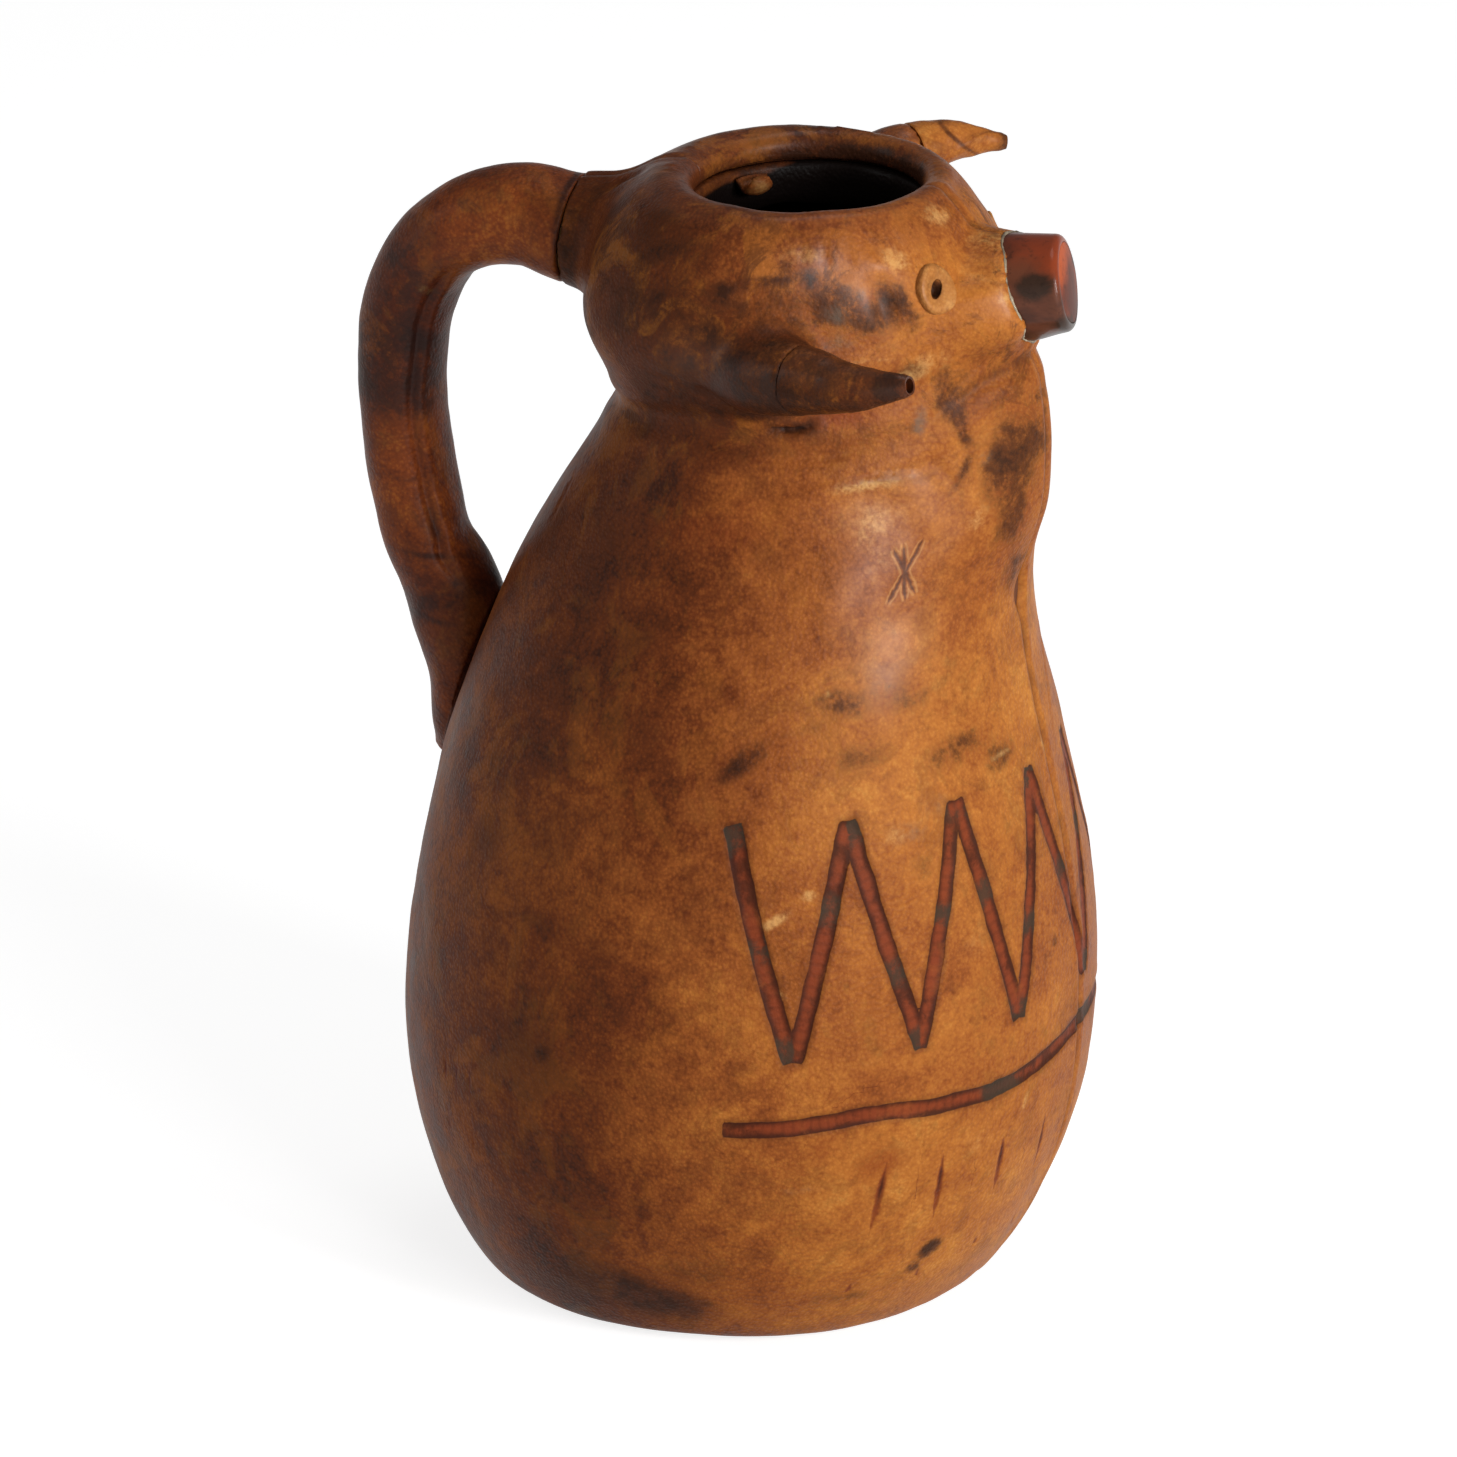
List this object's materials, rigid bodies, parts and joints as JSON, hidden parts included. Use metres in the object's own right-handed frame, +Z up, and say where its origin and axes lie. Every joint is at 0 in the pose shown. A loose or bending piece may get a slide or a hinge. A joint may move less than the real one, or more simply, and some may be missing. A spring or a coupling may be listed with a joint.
{
  "type": "bull-shaped leather pitcher",
  "caption": "Wet-formed leather pitcher shaped as a bull, with an open mouth in its head, horns, ring eyes, a short snout and a looped handle at the back.",
  "frame": {"origin": "centre of the underside of the base, on the table", "axes": "+X towards the bull's front (snout side), +Y towards the bull's left side, +Z up"},
  "size_m": [0.1983, 0.1798, 0.3015],
  "materials": {
    "tan_leather": "polished tan leather with dark stains and a fine pebbled grain",
    "dark_leather": "dark red-brown leather, satin, rubbed lighter on the edges",
    "horn_leather": "brown wrapped leather with scuffs",
    "eye_leather": "light tan leather rings, satin",
    "sole_leather": "dull dark sole leather",
    "raw_leather": "undyed inside leather, matt and uneven",
    "pitch": "black-brown pitch coat, dull gloss",
    "red_lacquer": "red-brown lacquer over leather, high gloss",
    "core_wood": "plain light wood, unseen"
  },
  "bodies": {
    "root": {"shell_right_half": "tan_leather", "shell_left_half": "tan_leather", "seam_strip_front": "raw_leather", "seam_strip_back": "raw_leather", "base_sole": "sole_leather", "base_inner_disc": "raw_leather", "pitch_lining": "pitch", "mouth_collar": "raw_leather", "handle_cover": "dark_leather", "handle_core": "core_wood", "horn_tip_right": "horn_leather", "horn_core_right": "core_wood", "horn_tip_left": "horn_leather", "horn_core_left": "core_wood", "eye_disc_right": "eye_leather", "eye_disc_left": "eye_leather", "snout_sleeve": "red_lacquer", "snout_end_disc": "red_lacquer", "snout_plug": "core_wood"}
  },
  "joints": []
}
